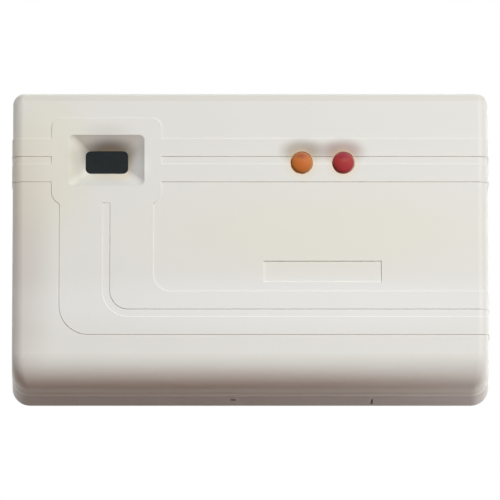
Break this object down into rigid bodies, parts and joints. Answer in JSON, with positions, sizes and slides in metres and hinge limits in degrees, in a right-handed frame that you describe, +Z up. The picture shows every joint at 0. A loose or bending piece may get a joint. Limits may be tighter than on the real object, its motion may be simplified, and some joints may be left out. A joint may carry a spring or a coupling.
{
  "type": "acoustic glass break sensor",
  "caption": "Flat wall sensor with a pull-off front cover, a microphone horn, an amber and a red lamp, raised bands, and a rear base that carries the circuit board.",
  "frame": {"origin": "centre of the back face, which lies on the wall", "axes": "+X to the right of someone facing the sensor, +Y into the wall, +Z up"},
  "size_m": [0.1104, 0.0349, 0.0692],
  "materials": {
    "cover_plastic": "fine moulded texture, ivory",
    "base_plastic": "fine moulded texture, ivory",
    "black_foam": "open-cell foam, matt",
    "black_rubber": "soft, matt",
    "can_metal": "drawn, satin",
    "amber_resin": "clear tinted resin, glossy",
    "red_resin": "clear tinted resin, glossy",
    "white_nylon": "smooth",
    "tinned_wire": "tinned, bright",
    "board_laminate": "green solder mask",
    "screw_steel": "zinc plated",
    "terminal_plastic": "smooth, green",
    "clamp_brass": "plated",
    "relay_plastic": "smooth, blue",
    "black_plastic": "fine texture",
    "plunger_plastic": "smooth, red",
    "switch_plastic": "smooth, dark red",
    "slider_plastic": "smooth, white",
    "capacitor_sleeve": "shrunk sleeve, dark",
    "ceramic_coat": "dipped, tan",
    "resistor_coat": "lacquered, beige",
    "varistor_coat": "dipped, blue",
    "pin_metal": "plated, bright",
    "shunt_plastic": "smooth, dark blue"
  },
  "bodies": {
    "housing": {"rear_base": "base_plastic", "microphone_boot": "black_rubber", "microphone_capsule": "can_metal", "amber_lamp": "amber_resin", "red_lamp": "red_resin", "amber_lamp_spacer": "white_nylon", "red_lamp_spacer": "white_nylon", "lamp_leads": "tinned_wire", "circuit_board": "board_laminate", "board_screws": "screw_steel", "terminal_block": "terminal_plastic", "terminal_screws": "screw_steel", "terminal_clamps": "clamp_brass", "alarm_relay": "relay_plastic", "tamper_switch": "black_plastic", "dip_switch": "switch_plastic", "chip_socket": "black_plastic", "controller_chip": "black_plastic", "controller_legs": "tinned_wire", "amplifier_chip": "black_plastic", "amplifier_legs": "tinned_wire", "electrolytic_capacitors": "capacitor_sleeve", "ceramic_capacitors": "ceramic_coat", "resistors": "resistor_coat", "diodes": "black_plastic", "circuit_leads": "tinned_wire", "crystal_can": "can_metal", "voltage_regulator": "black_plastic", "surge_varistor": "varistor_coat", "jumper_header": "black_plastic", "jumper_pins": "pin_metal", "jumper_shunt": "shunt_plastic"},
    "cover": {"front_cover": "cover_plastic", "horn_foam": "black_foam"},
    "plunger": {"tamper_plunger": "plunger_plastic"},
    "slider_1": {"dip_slider_1": "slider_plastic"},
    "slider_2": {"dip_slider_2": "slider_plastic"},
    "slider_3": {"dip_slider_3": "slider_plastic"},
    "slider_4": {"dip_slider_4": "slider_plastic"}
  },
  "joints": [
    {"name": "cover_pull_off", "type": "slide", "parent": "housing", "child": "cover", "axis": [0, -1, 0], "range_m": [0, 0.04]},
    {"name": "tamper_plunger_rise", "type": "slide", "parent": "housing", "child": "plunger", "axis": [0, -1, 0], "range_m": [0, 0.0012]},
    {"name": "slider_1_set", "type": "slide", "parent": "housing", "child": "slider_1", "axis": [0, 0, 1], "range_m": [-0.0016, 0]},
    {"name": "slider_2_set", "type": "slide", "parent": "housing", "child": "slider_2", "axis": [0, 0, 1], "range_m": [-0.0016, 0]},
    {"name": "slider_3_set", "type": "slide", "parent": "housing", "child": "slider_3", "axis": [0, 0, 1], "range_m": [0, 0.0016]},
    {"name": "slider_4_set", "type": "slide", "parent": "housing", "child": "slider_4", "axis": [0, 0, 1], "range_m": [0, 0.0016]}
  ],
  "couplings": [
    {"joint": "tamper_plunger_rise", "follows": "cover_pull_off", "ratio": 0.03}
  ]
}
